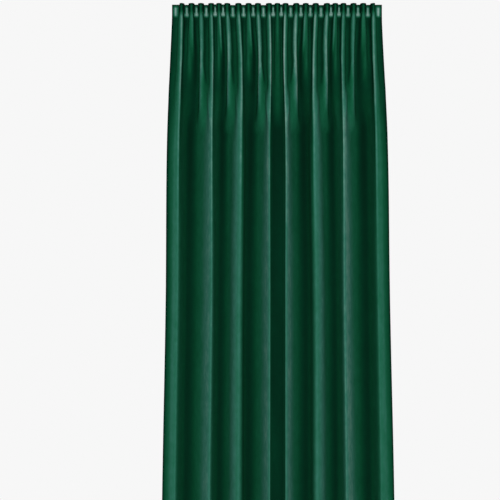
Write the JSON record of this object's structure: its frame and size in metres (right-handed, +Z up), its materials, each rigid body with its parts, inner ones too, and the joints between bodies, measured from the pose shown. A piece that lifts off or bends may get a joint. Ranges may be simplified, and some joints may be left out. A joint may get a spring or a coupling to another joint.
{
  "type": "velvet curtain panel with gathered heading",
  "caption": "Full-length velvet curtain panel hanging from a gathered, taped heading, whose small pleats run together into broad soft folds.",
  "frame": {"origin": "middle of the heading's top edge, in the plane of the cloth between the pleats", "axes": "+Z up, along the drop; +X along the heading, to the right as seen from the room; -Y towards the room, which the velvet's face looks at"},
  "size_m": [0.7873, 0.0862, 2.5],
  "materials": {
    "velvet": "dark green short-pile velvet, matt with a soft sheen on the folds",
    "woven_tape": "plain woven off-white curtain tape"
  },
  "bodies": {
    "root": {"velvet_panel": "velvet", "heading_tape": "woven_tape"}
  },
  "joints": []
}
